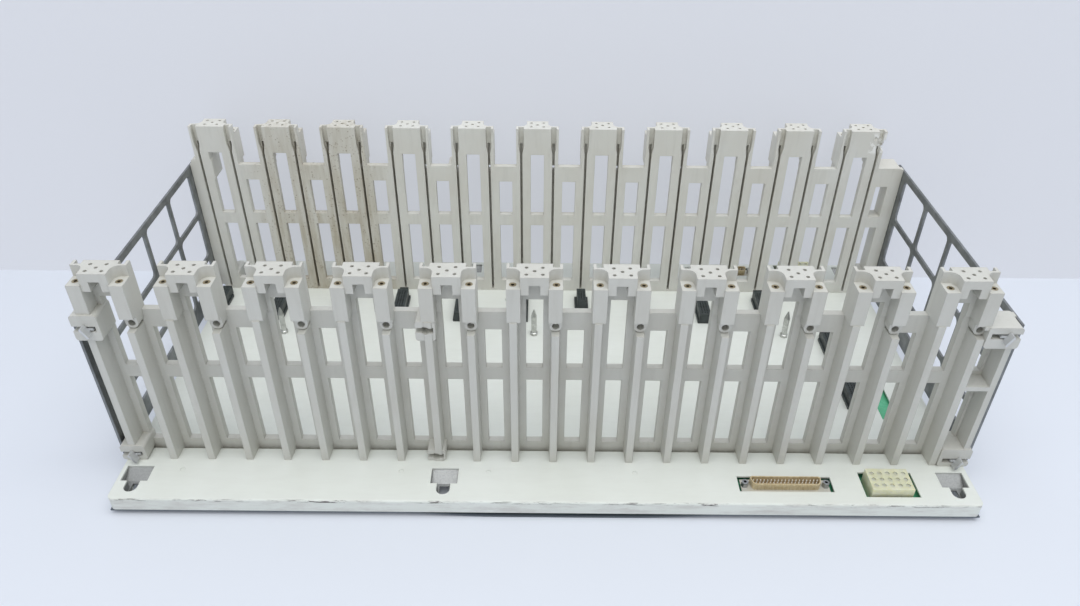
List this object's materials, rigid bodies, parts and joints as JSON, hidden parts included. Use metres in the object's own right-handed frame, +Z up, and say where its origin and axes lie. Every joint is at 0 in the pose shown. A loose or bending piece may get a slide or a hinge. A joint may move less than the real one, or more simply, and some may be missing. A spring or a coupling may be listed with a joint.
{
  "type": "subrack card cage",
  "caption": "Open card cage lying on its back: sheet tray with backplane sockets, two moulded card-guide combs and punched side panels.",
  "frame": {"origin": "middle of the footprint, on the surface that the back cover rests on", "axes": "+X along the row of slots, +Y from the front comb to the rear comb, +Z up out of the slots"},
  "size_m": [0.685, 0.34, 0.1934],
  "materials": {
    "tray_paint": "semi-gloss light grey paint",
    "cover_paint": "matt slate paint",
    "comb_plastic": "moulded warm grey",
    "panel_steel": "dull plated steel",
    "plated_steel": "zinc plated",
    "board_laminate": "green solder mask",
    "insert_brass": "dull brass",
    "connector_plastic": "dark slate",
    "pin_steel": "turned steel",
    "cup_steel": "plated pressed steel",
    "shell_plate": "olive gold chromate",
    "socket_plastic": "black",
    "contact_plate": "plated contacts",
    "nylon": "ivory nylon"
  },
  "bodies": {
    "root": {"base_tray": "tray_paint", "back_cover": "cover_paint", "cover_screws": "plated_steel", "backplane_board": "board_laminate", "board_spacers": "plated_steel", "board_screws": "plated_steel", "front_comb": "comb_plastic", "rear_comb": "comb_plastic", "front_comb_screws": "plated_steel", "rear_comb_screws": "plated_steel", "left_side_panel": "panel_steel", "right_side_panel": "panel_steel", "front_inserts": "insert_brass", "rear_inserts": "insert_brass", "slot_01_connector": "connector_plastic", "slot_02_connector": "connector_plastic", "slot_03_connector": "connector_plastic", "slot_04_connector": "connector_plastic", "slot_05_connector": "connector_plastic", "slot_06_connector": "connector_plastic", "slot_07_connector": "connector_plastic", "slot_08_connector": "connector_plastic", "slot_09_connector": "connector_plastic", "slot_10_connector": "connector_plastic", "slot_11_connector": "connector_plastic", "locating_pins": "pin_steel", "front_keyhole_cups": "cup_steel", "rear_keyhole_cups": "cup_steel", "front_signal_shell": "shell_plate", "front_signal_insulator": "socket_plastic", "front_signal_pins": "contact_plate", "front_jackscrews": "plated_steel", "rear_signal_shell": "shell_plate", "rear_signal_insulator": "socket_plastic", "rear_signal_pins": "contact_plate", "rear_jackscrews": "plated_steel", "front_power_housing": "nylon", "front_power_pins": "contact_plate", "rear_power_housing": "nylon", "rear_power_pins": "contact_plate"}
  },
  "joints": []
}
